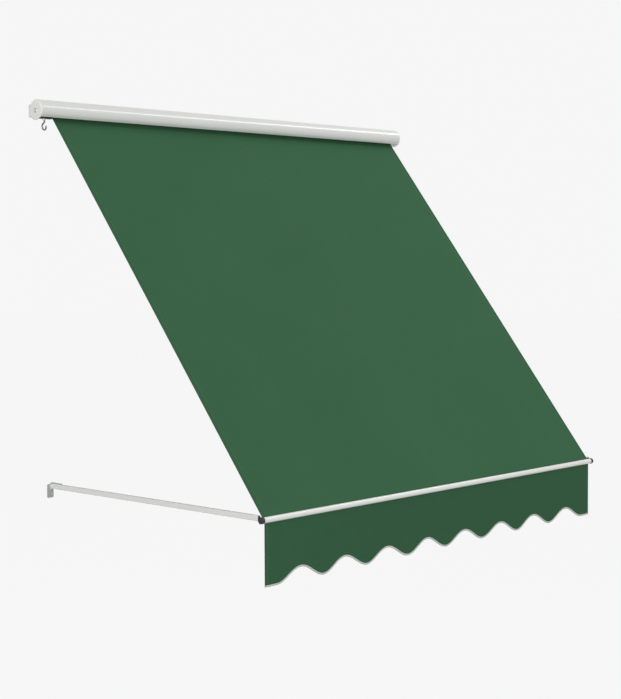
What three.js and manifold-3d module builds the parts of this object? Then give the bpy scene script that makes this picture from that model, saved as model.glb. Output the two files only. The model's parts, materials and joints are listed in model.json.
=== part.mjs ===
// Drop-arm awning with hood, roller, crank gear, two arms, front bar and scalloped valance.
// Millimetres. x runs along the wall, y = 0 is the wall face, the awning stands out towards -y, z is up.
// Drawn as it stands when let out: arms level, cloth tight between the roller and the front bar.
import * as THREE from "three";
import { mergeVertices } from "three/addons/utils/BufferGeometryUtils.js";
import Module from "manifold-3d";

const wasm = await Module();
wasm.setup();

// Whole awning
const WIDTH = 2000; // over the outer faces of the two end caps
const DROP = 1354; // roller axis down to the front bar
const REACH = 1083; // wall to front bar axis
const ROLLER_STANDOFF = 42; // wall to roller axis
const ARM_STANDOFF = 30; // wall to arm pivot
const ARM_RISE = 6.6; // arms above the front bar axis
const GAP = 0.3; // air left between pieces that touch

// Cloth
const CLOTH = 0.8; // thickness
const CLOTH_LEFT = 80; // end cap face to the cloth on the gear side
const CLOTH_RIGHT = 20; // and on the other side
const HEM = 22; // width of the side hems and of the middle seam
const VALANCE_INSET = 4; // valance edge inside the edge of the sheet
const VALANCE_DROP = 217; // bar axis to the bottom of the lobes
const WAVE_HEIGHT = 43; // notch above lobe
const NOTCHES = 8;
const LOBE_LEFT = 57; // valance edge to the middle of the first lobe
const LOBE_RIGHT = 57; // and of the last lobe
const BINDING = 6.5; // height of the tape round the scalloped edge
const BINDING_THICK = 2.8;
const ROLL_TURNS = 1.6; // cloth left on the roller when let out

// Hood and end caps
const HOOD_R = 35.5;
const HOOD_WALL = 1.8;
const HOOD_RISE = 4.5; // hood centre above the roller axis
const FRONT_LIP = 50; // degrees below level, room side lip
const REAR_LIP = 50; // degrees below level, wall side lip
const LIP = 5; // how far the lips turn in
const CAP_R = 34; // round face, centred on the roller axis
const CAP_FACE = 3.5; // thickness of the face
const CAP_RIM = 2;
const CAP_STEP = 5; // depth at which the cap takes over the outline of the hood
const CAP_DEPTH = 9; // depth at which the hood begins
const SPIGOT = 14; // how far the cap reaches into the hood
const CAP_HOLE_R = 8.2;

// Wall brackets of the roller
const PLATE = 3;
const BRACKET_TOP = 23; // above the roller axis
const BRACKET_FOOT = 22; // below it
const FLANGE = 44; // along the wall
const AXLE_R = 5;
const BOLT_HEAD_R = 7.2;

// Roller
const ROLLER_R = 16;
const ROLLER_WALL = 1.2;
const GROOVE = 4.6; // groove that holds the cloth's edge cord
const CORD_R = 1.8;
const PLUG = 34; // how far the plugs reach into the roller

// Crank gear
const GEAR_INSET = 29; // end cap face to the worm axis
const MODULE = 1.5;
const TEETH = 11;
const WORM_R = 4.5; // pitch radius of the worm
const BACKLASH = 0.5;
const WORM_HALF = 8.5; // half length of the thread
const WHEEL_WIDTH = 9;
const SQUARE = 8; // drive square between the wheel and the roller
const CASE_FOOT = 29; // roller axis to the foot of the case, round the crank shaft
const CASE_LENGTH = 30; // worm axis to the inner end of the case
const SHAFT_R = 5.6; // crank shaft below the worm
const EYE_DROP = 32; // roller axis to the top of the crank eye
const WIRE_R = 3; // crank eye wire

// Arms and their wall brackets
const ARM_HEIGHT = 18.2;
const ARM_WIDTH = 12.8;
const ARM_WALL = 1.4;
const ROOT = 30; // pivot to the start of the tube
const CHEEK = 2.5; // thickness of the bracket's cheek
const CHEEK_REACH = 39; // cheek past the pivot
const CHEEK_RISE = 2.5; // cheek above the arm
const BASE_FOOT = 46; // base plate below the arm axis
const BASE_WIDE = 28;
const BASE_OUT = 6; // base plate outside the arm's middle
const SCREW_R = 2.4;
const PIVOT_R = 4;

// Front bar
const BAR_R = 10;
const BAR_WALL = 1.6;
const KNUCKLE = 11; // length of the black bar end pieces
const KNUCKLE_R = 11;
const PIN_R = 4.7;
const COLLAR = 2.2; // plug collar between bar and knuckle
const BAR_PAST_LEFT = 1; // bar past the edge of the sheet
const BAR_PAST_RIGHT = 4;

// Sizes that follow from those above
const END = WIDTH / 2;
const ARM_LENGTH = REACH - ARM_STANDOFF;
const CLOTH_X0 = -END + CLOTH_LEFT;
const CLOTH_X1 = END - CLOTH_RIGHT;
const CLOTH_MID = (CLOTH_X0 + CLOTH_X1) / 2;
const VALANCE_X0 = CLOTH_X0 + VALANCE_INSET;
const VALANCE_X1 = CLOTH_X1 - VALANCE_INSET;
const HOOD_IN = HOOD_R - HOOD_WALL;
const SPIGOT_R = HOOD_IN - GAP;
const CAP_END = CAP_DEPTH + SPIGOT;
const PLATE_OUT = CAP_FACE + GAP; // depth of the bracket plate behind the cap face
const PLATE_IN = PLATE_OUT + PLATE;
const BODY = PLATE_IN + GAP; // depth at which the gear case begins
const ROLL_STEP = CLOTH + GAP;
const ROLL_R = ROLLER_R + GAP + CLOTH / 2 + ROLL_TURNS * ROLL_STEP;
const WHEEL_R = (MODULE * TEETH) / 2;
const CENTRES = WHEEL_R + WORM_R;
const PITCH = Math.PI * MODULE;
const ADDENDUM = 0.8 * MODULE;
const DEDENDUM = 1.15 * MODULE;
const PRESSURE = THREE.MathUtils.degToRad(20);
const GEAR_X = -END + GEAR_INSET;
const CASE_X1 = GEAR_X + CASE_LENGTH;
const TUBE_X0 = CASE_X1 + 10;
const TUBE_X1 = END - BODY - 10;
const TUBE_IN = ROLLER_R - ROLLER_WALL;
const BAR_X0 = CLOTH_X0 - BAR_PAST_LEFT;
const BAR_X1 = CLOTH_X1 + BAR_PAST_RIGHT;
const CORD_POCKET_R = CORD_R + 0.4;
const POCKET_WALL = 1.2;
const POCKET_AT = BAR_R - POCKET_WALL - CORD_POCKET_R; // bar axis to the cord pockets
const SLOT = CLOTH * 2 + 1;
const SLOT_END = POCKET_AT + CORD_R + GAP; // how near the cloth comes to the bar axis

// Cloth line: tangent to the roll on the wall side, straight to the bar axis
const toBar = new THREE.Vector2(ROLLER_STANDOFF - REACH, -DROP);
const rollAngle = toBar.angle() + Math.acos(ROLL_R / toBar.length());
const rollPoint = new THREE.Vector2(Math.cos(rollAngle), Math.sin(rollAngle)).multiplyScalar(ROLL_R);
const clothLine = toBar.clone().sub(rollPoint);
const clothRun = clothLine.length();
const clothDir = clothLine.clone().normalize();

// Finishes
const paint = (color, roughness, metalness) =>
  new THREE.MeshStandardMaterial({ color, roughness, metalness });
const WHITE = paint(0xe6e7e3, 0.4, 0.1);
const CAP_WHITE = paint(0xdedfdb, 0.5, 0);
const GREY = paint(0xc9cbc7, 0.45, 0.2);
const MID_GREY = paint(0xb0b2b0, 0.5, 0.2);
const STEEL = paint(0xa7a9a8, 0.4, 0.8);
const DARK_STEEL = paint(0x737678, 0.4, 0.8);
const BRASS = paint(0xb08d4a, 0.35, 0.9);
const BLACK = paint(0x232323, 0.55, 0);
const NYLON = paint(0xd8d6cc, 0.6, 0);
const GREEN = paint(0x3c6348, 0.9, 0);
const TAPE = paint(0xcfd5cd, 0.85, 0);

// Drawing helpers
const ACROSS = new THREE.Matrix4().makeBasis(
  new THREE.Vector3(0, 1, 0),
  new THREE.Vector3(0, 0, 1),
  new THREE.Vector3(1, 0, 0),
);

function outline(points) {
  return new THREE.Shape(points.map(([a, b]) => new THREE.Vector2(a, b)));
}

function disc(radius, a = 0, b = 0) {
  const shape = new THREE.Shape();
  shape.absarc(a, b, radius, 0, 2 * Math.PI);
  return shape;
}

function hole(radius, a = 0, b = 0) {
  const path = new THREE.Path();
  path.absarc(a, b, radius, 0, 2 * Math.PI, true);
  return path;
}

function rounded(a0, a1, b0, b1, r) {
  const shape = new THREE.Shape();
  shape.absarc(a1 - r, b0 + r, r, -Math.PI / 2, 0);
  shape.absarc(a1 - r, b1 - r, r, 0, Math.PI / 2);
  shape.absarc(a0 + r, b1 - r, r, Math.PI / 2, Math.PI);
  shape.absarc(a0 + r, b0 + r, r, Math.PI, 1.5 * Math.PI);
  shape.closePath();
  return shape;
}

function prism(shape, depth, curveSegments) {
  return new THREE.ExtrudeGeometry(shape, { depth, curveSegments, bevelEnabled: false });
}

// A drawing in y and z, drawn out along x
function prismX(shape, x0, x1, curveSegments = 12) {
  return prism(shape, x1 - x0, curveSegments).applyMatrix4(ACROSS).translate(x0, 0, 0);
}

// A drawing in x and z, drawn out along y
function prismY(shape, y0, y1, curveSegments = 12) {
  return prism(shape, y1 - y0, curveSegments).rotateX(Math.PI / 2).translate(0, y1, 0);
}

// A drawing in x and y, drawn out along z
function prismZ(shape, z0, z1, curveSegments = 12) {
  return prism(shape, z1 - z0, curveSegments).translate(0, 0, z0);
}

function box(x0, x1, y0, y1, z0, z1) {
  return new THREE.BoxGeometry(x1 - x0, y1 - y0, z1 - z0).translate(
    (x0 + x1) / 2,
    (y0 + y1) / 2,
    (z0 + z1) / 2,
  );
}

// A turned piece on the x axis; the profile holds [depth behind the end cap face, radius]
function turned(profile, side, segments = 40) {
  const points = profile.map(([depth, radius]) => new THREE.Vector2(radius, depth));
  return new THREE.LatheGeometry(points, segments)
    .rotateZ((side * Math.PI) / 2)
    .translate(side * END, 0, 0);
}

function rising(a, b) {
  return [Math.min(a, b), Math.max(a, b)];
}

// The x range between two depths behind the end cap face of one side
function between(side, near, far) {
  return rising(side * (END - near), side * (END - far));
}

function hexagon(radius) {
  const corners = [0, 1, 2, 3, 4, 5].map((i) => (i * Math.PI) / 3);
  return outline(corners.map((a) => [radius * Math.cos(a), radius * Math.sin(a)]));
}

function plain(geometry) {
  const loose = geometry.index ? geometry.toNonIndexed() : geometry;
  const bare = new THREE.BufferGeometry();
  bare.setAttribute("position", loose.getAttribute("position"));
  return mergeVertices(bare, 1e-4);
}

function solid(geometry) {
  const welded = plain(geometry);
  return new wasm.Manifold(
    new wasm.Mesh({
      numProp: 3,
      vertProperties: Float32Array.from(welded.getAttribute("position").array),
      triVerts: Uint32Array.from(welded.index.array),
    }),
  );
}

function drawn(body) {
  const mesh = body.getMesh();
  const geometry = new THREE.BufferGeometry();
  geometry.setAttribute("position", new THREE.BufferAttribute(mesh.vertProperties, 3));
  geometry.setIndex(new THREE.BufferAttribute(mesh.triVerts, 1));
  geometry.computeVertexNormals();
  return geometry;
}

function join(...geometries) {
  return drawn(geometries.map(solid).reduce((a, b) => a.add(b)));
}

function cut(geometry, ...tools) {
  return drawn(tools.map(solid).reduce((a, b) => a.subtract(b), solid(geometry)));
}

// Skin over equal rings of points, with a flat fan at each end
function loft(rings) {
  const count = rings[0].length;
  const middle = (ring) =>
    ring.reduce((sum, p) => sum.add(p), new THREE.Vector3()).divideScalar(count);
  const points = [...rings.flat(), middle(rings[0]), middle(rings.at(-1))];
  const first = rings.length * count;
  const faces = [];
  for (let i = 0; i < count; i += 1) {
    const j = (i + 1) % count;
    for (let k = 0; k < rings.length - 1; k += 1) {
      const a = k * count;
      const b = a + count;
      faces.push(a + i, a + j, b + j, a + i, b + j, b + i);
    }
    const last = first - count;
    faces.push(first, j, i, first + 1, last + i, last + j);
  }
  const geometry = new THREE.BufferGeometry().setFromPoints(points);
  geometry.setIndex(faces);
  geometry.computeVertexNormals();
  return geometry;
}

// Scene
const awning = new THREE.Group();
awning.name = "awning";

function place(parent, name, geometry, material) {
  const mesh = new THREE.Mesh(geometry, material);
  mesh.name = name;
  parent.add(mesh);
  return mesh;
}

function line(y, z) {
  const group = new THREE.Group();
  group.position.set(0, y, z);
  awning.add(group);
  return group;
}

const rollerLine = line(-ROLLER_STANDOFF, 0);
const barLine = line(-REACH, -DROP);
const armLine = line(-ARM_STANDOFF, ARM_RISE - DROP);

// Hood: open at the foot, both lips turned in, notched for the crank shaft
function hoodShape() {
  const front = Math.PI + THREE.MathUtils.degToRad(FRONT_LIP);
  const rear = -THREE.MathUtils.degToRad(REAR_LIP);
  const turn = HOOD_WALL / HOOD_IN;
  const at = (r, angle) => [r * Math.cos(angle), HOOD_RISE + r * Math.sin(angle)];
  const shape = new THREE.Shape();
  shape.absarc(0, HOOD_RISE, HOOD_R, rear, front);
  shape.lineTo(...at(HOOD_IN - LIP, front));
  shape.lineTo(...at(HOOD_IN - LIP, front - turn));
  shape.absarc(0, HOOD_RISE, HOOD_IN, front - turn, rear + turn, true);
  shape.lineTo(...at(HOOD_IN - LIP, rear + turn));
  shape.lineTo(...at(HOOD_IN - LIP, rear));
  shape.closePath();
  return shape;
}

const hoodX = END - CAP_DEPTH - GAP;
const notch = box(-END, CASE_X1 + 2, -CENTRES - 11, -CENTRES + 9, -2 * HOOD_R, -HOOD_R / 3);
place(rollerLine, "hood", cut(prismX(hoodShape(), -hoodX, hoodX, 32), notch), WHITE);

// Pieces that stand at both ends of the roller
function bracketShape() {
  const r = CAP_R - CAP_RIM - 1;
  const top = Math.min(BRACKET_TOP, 0.95 * r);
  const foot = Math.min(BRACKET_FOOT, 0.95 * r);
  const shape = new THREE.Shape();
  shape.absarc(0, 0, r, Math.asin(top / r), 2 * Math.PI - Math.asin(foot / r));
  shape.lineTo(ROLLER_STANDOFF, -foot);
  shape.lineTo(ROLLER_STANDOFF, top);
  shape.closePath();
  shape.holes.push(hole(AXLE_R + GAP));
  return shape;
}

function flangeShape(side) {
  const [x0, x1] = between(side, PLATE_OUT, PLATE_OUT + FLANGE);
  const shape = rounded(x0, x1, -BRACKET_FOOT, BRACKET_TOP, 1);
  const middle = (x0 + x1) / 2 - side * PLATE;
  const level = (BRACKET_TOP - BRACKET_FOOT) / 2;
  shape.holes.push(hole(3.5, middle - 11, level), hole(3.5, middle + 11, level));
  return shape;
}

for (const [hand, side] of [["left", -1], ["right", 1]]) {
  const plate = prismX(bracketShape(), ...between(side, PLATE_OUT, PLATE_IN), 10);
  const flange = prismY(flangeShape(side), ROLLER_STANDOFF - PLATE, ROLLER_STANDOFF, 4);
  place(rollerLine, `roller_bracket_${hand}`, join(plate, flange), GREY);

  // End cap: round face, collar in the outline of the hood, spigot inside the hood, open at the foot
  const face = turned(
    [
      [0, 0],
      [0, CAP_R - 4],
      [1.2, CAP_R - 1.2],
      [4, CAP_R],
      [CAP_STEP + 1, CAP_R],
      [CAP_STEP + 1, 0],
    ],
    side,
    36,
  );
  const ring = (radius, near, far) =>
    prismX(disc(radius, 0, HOOD_RISE), ...between(side, near, far), 18);
  const cap = join(face, ring(HOOD_R, CAP_STEP - 1, CAP_DEPTH), ring(SPIGOT_R, CAP_DEPTH - 1, CAP_END));
  const behind = between(side, CAP_FACE, CAP_END + 1);
  const mouth = HOOD_R * Math.cos(THREE.MathUtils.degToRad(FRONT_LIP));
  const hollows = [
    prismX(disc(CAP_HOLE_R), ...between(side, -1, CAP_FACE + 1), 12),
    prismX(disc(CAP_R - CAP_RIM), ...between(side, CAP_FACE, CAP_STEP + 2), 18),
    ring(SPIGOT_R - CAP_RIM, CAP_STEP + 1, CAP_END + 1),
    box(...behind, 0, 2 * HOOD_R, -2 * HOOD_R, BRACKET_TOP + GAP),
    box(...behind, -mouth, 2 * HOOD_R, -2 * HOOD_R, -HOOD_R / 2),
  ];
  place(rollerLine, `end_cap_${hand}`, cut(cap, ...hollows), CAP_WHITE);
}

// Bolt with a hexagon socket; the tail is how deep its end lies behind the cap face
function axleBolt(side, tail) {
  const seat = PLATE_OUT - GAP;
  const bolt = turned(
    [
      [GAP, 0],
      [GAP, BOLT_HEAD_R - 1],
      [GAP + 1, BOLT_HEAD_R],
      [seat, BOLT_HEAD_R],
      [seat, AXLE_R],
      [tail - 1, AXLE_R],
      [tail, AXLE_R - 1],
      [tail, 0],
    ],
    side,
    20,
  );
  const socket = turned([[-1, 0], [-1, 3.4], [2.2, 3.4], [2.2, 0]], side, 6);
  return cut(bolt, socket);
}

place(rollerLine, "gear_bolt", axleBolt(-1, BODY + 4.5), STEEL);
place(rollerLine, "idler_axle", axleBolt(1, END - TUBE_X1 + PLUG - 6), DARK_STEEL);

const nutShape = hexagon(8.6);
nutShape.holes.push(hole(AXLE_R + GAP));
place(rollerLine, "idler_nut", prismX(nutShape, ...between(1, BODY, BODY + 5), 12), STEEL);

// Gear case in two halves that meet on the worm axis
const caseShape = rounded(-CENTRES - 9.5, WHEEL_R + 5.5, -WORM_HALF - 7, WORM_HALF + 7, 6);
const neckY = SHAFT_R + 2.4;
const caseNeck = rounded(-CENTRES - neckY, -CENTRES + neckY, -CASE_FOOT, 0, 3);
const screwY = WHEEL_R + 1.8;
const screwZ = WORM_HALF + 3;
const wheelRoom = WHEEL_WIDTH / 2 + 0.8;
const caseHollows = [
  prismX(disc(WHEEL_R + ADDENDUM + 1), GEAR_X - wheelRoom, GEAR_X + wheelRoom, 12),
  prismX(disc(AXLE_R + GAP), GEAR_X - WHEEL_WIDTH / 2 - 3, CASE_X1 + 1, 9),
  prismX(disc(AXLE_R + GAP), -END, -END + BODY + 5, 9),
  prismZ(disc(WORM_R + ADDENDUM + 0.8, GEAR_X, -CENTRES), -WORM_HALF - 1, WORM_HALF + 1, 9),
  prismZ(disc(3 + GAP, GEAR_X, -CENTRES), 0, WORM_HALF + 5.5, 7),
  prismZ(disc(4 + GAP, GEAR_X, -CENTRES), -2 * HOOD_R, 0, 8),
  prismZ(disc(SHAFT_R + GAP, GEAR_X, -CENTRES), -2 * HOOD_R, GAP - WORM_HALF - 8, 10),
  prismX(disc(1.5 + GAP, screwY, screwZ), GEAR_X - 8, CASE_X1 + 1, 6),
  prismX(disc(1.5 + GAP, screwY, -screwZ), GEAR_X - 8, CASE_X1 + 1, 6),
];
const caseHalf = (x0, x1) =>
  cut(join(prismX(caseShape, x0, x1, 5), prismX(caseNeck, x0, x1, 3)), ...caseHollows);
place(rollerLine, "gear_case", caseHalf(-END + BODY, GEAR_X - GAP / 2), BLACK);
place(rollerLine, "gear_cover", caseHalf(GEAR_X + GAP / 2, CASE_X1), BLACK);

function caseScrew(z) {
  const shank = prismX(disc(1.5, screwY, z), GEAR_X - 7, CASE_X1 + GAP + 1, 6);
  const head = prismX(disc(2.8, screwY, z), CASE_X1 + GAP, CASE_X1 + GAP + 2, 6);
  return join(shank, head);
}
place(rollerLine, "gear_screw_upper", caseScrew(screwZ), STEEL);
place(rollerLine, "gear_screw_lower", caseScrew(-screwZ), STEEL);

// Worm with one right-hand start, thread middle facing the wheel at z = 0
function wormThread() {
  const half = PITCH / 4 - BACKLASH / 4;
  const crest = half - ADDENDUM * Math.tan(PRESSURE);
  const root = half + DEDENDUM * Math.tan(PRESSURE);
  const high = WORM_R + ADDENDUM;
  const low = WORM_R - DEDENDUM;
  const stops = [
    [-crest, high, 4],
    [crest, high, 3],
    [root, low, 4],
    [PITCH - root, low, 3],
    [PITCH - crest, high, 0],
  ];
  const section = [];
  for (let i = 0; i < 4; i += 1) {
    const [s0, r0, steps] = stops[i];
    const [s1, r1] = stops[i + 1];
    for (let k = 0; k < steps; k += 1) {
      section.push([s0 + ((s1 - s0) * k) / steps, r0 + ((r1 - r0) * k) / steps]);
    }
  }
  section.reverse();
  const steps = Math.ceil((2 * WORM_HALF) / (PITCH / 11));
  const rings = [];
  for (let k = 0; k <= steps; k += 1) {
    const z = WORM_HALF * ((2 * k) / steps - 1);
    rings.push(
      section.map(([s, r]) => {
        const angle = (2 * Math.PI * (z - s)) / PITCH + Math.PI / 2;
        return new THREE.Vector3(r * Math.cos(angle), r * Math.sin(angle), z);
      }),
    );
  }
  return loft(rings);
}

const EYE_TOP = -EYE_DROP;
const crankLine = new THREE.Group();
crankLine.position.set(GEAR_X, -CENTRES, 0);
rollerLine.add(crankLine);
const wormShaft = join(
  wormThread(),
  prismZ(disc(3), WORM_HALF - 1, WORM_HALF + 5, 7),
  prismZ(disc(4), EYE_TOP, 1 - WORM_HALF, 8),
  prismZ(disc(SHAFT_R), EYE_TOP, -WORM_HALF - 8, 10),
);
const eyeBore = prismZ(disc(WIRE_R + GAP), EYE_TOP - 1, EYE_TOP + 9, 8);
place(crankLine, "worm_shaft", cut(wormShaft, eyeBore), STEEL);

// Crank eye: one bent wire, neck swung to one side, bowl open at the tip
const eyeCurve = new THREE.CatmullRomCurve3(
  [
    [0, 8.4],
    [0, 0],
    [2.4, -5],
    [-1, -11],
    [-7.4, -17.5],
    [-8.2, -26],
    [-4.8, -33.4],
    [1.4, -36],
    [6.8, -32.6],
    [8.4, -25.5],
    [8, -20.5],
  ].map(([x, z]) => new THREE.Vector3(x, 0, EYE_TOP + z)),
);
const eyeWire = new THREE.ExtrudeGeometry(disc(WIRE_R), {
  steps: 28,
  curveSegments: 5,
  extrudePath: eyeCurve,
});
place(crankLine, "crank_eye", eyeWire, DARK_STEEL);

// Worm wheel with its drive square
function wheelSection() {
  const base = WHEEL_R * Math.cos(PRESSURE);
  const tip = WHEEL_R + ADDENDUM;
  const root = WHEEL_R - DEDENDUM;
  const involute = (a) => Math.tan(a) - a;
  const atPitch = (PITCH / 4 - BACKLASH / 4) / WHEEL_R;
  const half = (r) => atPitch + involute(PRESSURE) - involute(Math.acos(Math.min(1, base / r)));
  const flank = [root, Math.max(base, root), WHEEL_R, tip];
  const section = [];
  for (let t = 0; t < TEETH; t += 1) {
    const middle = Math.PI + ((2 * t + 1) * Math.PI) / TEETH;
    for (const r of flank) section.push([r, middle - half(Math.max(r, base))]);
    for (const r of [...flank].reverse()) section.push([r, middle + half(Math.max(r, base))]);
  }
  return section;
}

function wheelTeeth() {
  const lead = PITCH / (2 * Math.PI * WORM_R);
  const section = wheelSection();
  const rings = [];
  for (let k = 0; k <= 3; k += 1) {
    const x = WHEEL_WIDTH * (k / 3 - 0.5);
    const twist = (x * lead) / WHEEL_R;
    rings.push(
      section.map(
        ([r, a]) => new THREE.Vector3(GEAR_X + x, r * Math.cos(a + twist), r * Math.sin(a + twist)),
      ),
    );
  }
  return loft(rings);
}

const half = SQUARE / 2;
const wheel = join(
  wheelTeeth(),
  prismX(disc(AXLE_R), GEAR_X - WHEEL_WIDTH / 2 - 2.6, CASE_X1 + 3, 9),
  box(CASE_X1 + 1, TUBE_X0 + PLUG - 8, -half, half, -half, half),
);
place(rollerLine, "worm_wheel", wheel, BRASS);

// Roller tube: round with one folded-in groove at the end of the wound cloth
const grooveAngle = rollAngle + 2 * Math.PI * ROLL_TURNS + 0.3;
function grooved(r, width, floor) {
  const bite = Math.asin(width / 2 / r);
  const turn = (a, b) => [
    a * Math.cos(grooveAngle) - b * Math.sin(grooveAngle),
    a * Math.sin(grooveAngle) + b * Math.cos(grooveAngle),
  ];
  const shape = new THREE.Shape();
  shape.absarc(0, 0, r, grooveAngle + bite, grooveAngle + 2 * Math.PI - bite);
  shape.lineTo(...turn(floor, -width / 2));
  shape.lineTo(...turn(floor, width / 2));
  shape.closePath();
  return shape;
}
const grooveFloor = ROLLER_R - GROOVE - 0.6;
const tubeInside = grooved(TUBE_IN, GROOVE + 2 * ROLLER_WALL, grooveFloor - ROLLER_WALL);
const tube = cut(
  prismX(grooved(ROLLER_R, GROOVE, grooveFloor), TUBE_X0, TUBE_X1, 24),
  prismX(tubeInside, TUBE_X0 - 1, TUBE_X1 + 1, 24),
);
place(rollerLine, "roller_tube", tube, STEEL);

// Plugs follow the inside of the tube, so the groove keys them
function rollerPlug(side, bore) {
  const clear = ROLLER_WALL + GAP;
  const inside = grooved(TUBE_IN - GAP, GROOVE + 2 * clear, grooveFloor - clear);
  const end = side < 0 ? TUBE_X0 : TUBE_X1;
  const reach = rising(end - side * PLUG, end + side * 2);
  const rim = rising(end + side * GAP, end + side * 3);
  return cut(join(prismX(inside, ...reach, 14), prismX(disc(ROLLER_R), ...rim, 14)), bore);
}
const loose = half + GAP;
const squareBore = box(TUBE_X0 - 9, TUBE_X0 + PLUG + 1, -loose, loose, -loose, loose);
place(rollerLine, "drive_plug", rollerPlug(-1, squareBore), BLACK);
const bushR = AXLE_R + GAP + 1.8;
const bushBore = prismX(disc(bushR + GAP), TUBE_X1 - PLUG - 1, TUBE_X1 + 9, 12);
place(rollerLine, "idler_plug", rollerPlug(1, bushBore), BLACK);
const bushShape = disc(bushR);
bushShape.holes.push(hole(AXLE_R + GAP));
place(rollerLine, "idler_bush", prismX(bushShape, TUBE_X1 - PLUG + 2, TUBE_X1 + 3, 12), NYLON);

// Cloth: cord in the groove, the turns left on the roller, the sheet, the valance
const cordAt = grooveFloor + CORD_R + GAP;
const grooveCord = disc(CORD_R, cordAt * Math.cos(grooveAngle), cordAt * Math.sin(grooveAngle));
place(rollerLine, "roller_cord", prismX(grooveCord, CLOTH_X0, CLOTH_X1, 5), NYLON);

function rollShape() {
  const steps = Math.round(ROLL_TURNS * 26);
  const outer = [];
  const inner = [];
  for (let k = 0; k <= steps; k += 1) {
    const turns = (ROLL_TURNS * k) / steps;
    const angle = rollAngle + 2 * Math.PI * turns;
    const r = ROLL_R - turns * ROLL_STEP;
    outer.push([(r + CLOTH / 2) * Math.cos(angle), (r + CLOTH / 2) * Math.sin(angle)]);
    inner.push([(r - CLOTH / 2) * Math.cos(angle), (r - CLOTH / 2) * Math.sin(angle)]);
  }
  return outline([...outer, ...inner.reverse()]);
}
place(rollerLine, "cloth_roll", prismX(rollShape(), CLOTH_X0, CLOTH_X1), GREEN);

function canopySection() {
  const top = CLOTH / 2;
  const low = -CLOTH / 2;
  const hem = low - CLOTH;
  return outline([
    [CLOTH_X0, top],
    [CLOTH_X0, hem],
    [CLOTH_X0 + HEM, hem],
    [CLOTH_X0 + HEM, low],
    [CLOTH_MID - HEM / 2, low],
    [CLOTH_MID - HEM / 2, hem],
    [CLOTH_MID + HEM / 2, hem],
    [CLOTH_MID + HEM / 2, low],
    [CLOTH_X1 - HEM, low],
    [CLOTH_X1 - HEM, hem],
    [CLOTH_X1, hem],
    [CLOTH_X1, top],
  ]);
}
const canopy = place(rollerLine, "canopy", prism(canopySection(), clothRun - SLOT_END - 2, 1), GREEN);
canopy.quaternion.setFromRotationMatrix(
  new THREE.Matrix4().makeBasis(
    new THREE.Vector3(1, 0, 0),
    new THREE.Vector3(0, clothDir.y, -clothDir.x),
    new THREE.Vector3(0, clothDir.x, clothDir.y),
  ),
);
canopy.position.set(0, rollPoint.x + 2 * clothDir.x, rollPoint.y + 2 * clothDir.y);

// Lower edge of the valance: flat to the middle of the first lobe, waves, flat again
const wavePitch = (VALANCE_X1 - VALANCE_X0 - LOBE_LEFT - LOBE_RIGHT) / NOTCHES;
function waveEdge(lift, past = 0) {
  const points = [[VALANCE_X0 - past, -VALANCE_DROP + lift]];
  for (let k = 0; k <= NOTCHES * 10; k += 1) {
    const phase = k / 10;
    const rise = (WAVE_HEIGHT * (1 - Math.cos(2 * Math.PI * phase))) / 2;
    points.push([VALANCE_X0 + LOBE_LEFT + phase * wavePitch, -VALANCE_DROP + rise + lift]);
  }
  points.push([VALANCE_X1 + past, -VALANCE_DROP + lift]);
  return points;
}

const clothFoot = 3; // how far the cloth stops above the foot of the tape
const valanceTop = [[VALANCE_X1, -SLOT_END], [VALANCE_X0, -SLOT_END]];
const valanceShape = outline([...waveEdge(clothFoot), ...valanceTop]);
place(barLine, "valance", prismY(valanceShape, -CLOTH / 2, CLOTH / 2), GREEN);

const tapeShape = outline([...waveEdge(0), ...waveEdge(BINDING).reverse()]);
const tapeSlot = outline([...waveEdge(clothFoot - GAP, 1), ...waveEdge(BINDING + 2, 1).reverse()]);
const slotHalf = CLOTH / 2 + GAP;
const tape = cut(
  prismY(tapeShape, -BINDING_THICK / 2, BINDING_THICK / 2),
  prismY(tapeSlot, -slotHalf, slotHalf),
);
place(barLine, "valance_binding", tape, TAPE);

// Front bar: round tube with a cord pocket towards the roller and one at the foot
const pockets = [
  [-clothDir.x * POCKET_AT, -clothDir.y * POCKET_AT],
  [0, -POCKET_AT],
];
const slotAngle = Math.atan2(-clothDir.y, -clothDir.x);
function slotBox(angle) {
  return box(BAR_X0 - 1, BAR_X1 + 1, POCKET_AT, BAR_R + 2, -SLOT / 2, SLOT / 2).rotateX(angle);
}
const rods = (radius, x0, x1, segments) =>
  pockets.map(([y, z]) => prismX(disc(radius, y, z), x0, x1, segments));
const bar = cut(
  join(
    cut(
      prismX(disc(BAR_R), BAR_X0, BAR_X1, 24),
      prismX(disc(BAR_R - BAR_WALL), BAR_X0 - 1, BAR_X1 + 1, 20),
    ),
    ...rods(CORD_POCKET_R + POCKET_WALL, BAR_X0, BAR_X1, 8),
  ),
  ...rods(CORD_POCKET_R, BAR_X0 - 1, BAR_X1 + 1, 8),
  slotBox(slotAngle),
  slotBox(-Math.PI / 2),
);
place(barLine, "front_bar", bar, WHITE);
const [canopyCord, valanceCord] = rods(CORD_R, CLOTH_X0, CLOTH_X1, 5);
place(barLine, "canopy_cord", canopyCord, NYLON);
place(barLine, "valance_cord", valanceCord, NYLON);

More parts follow.
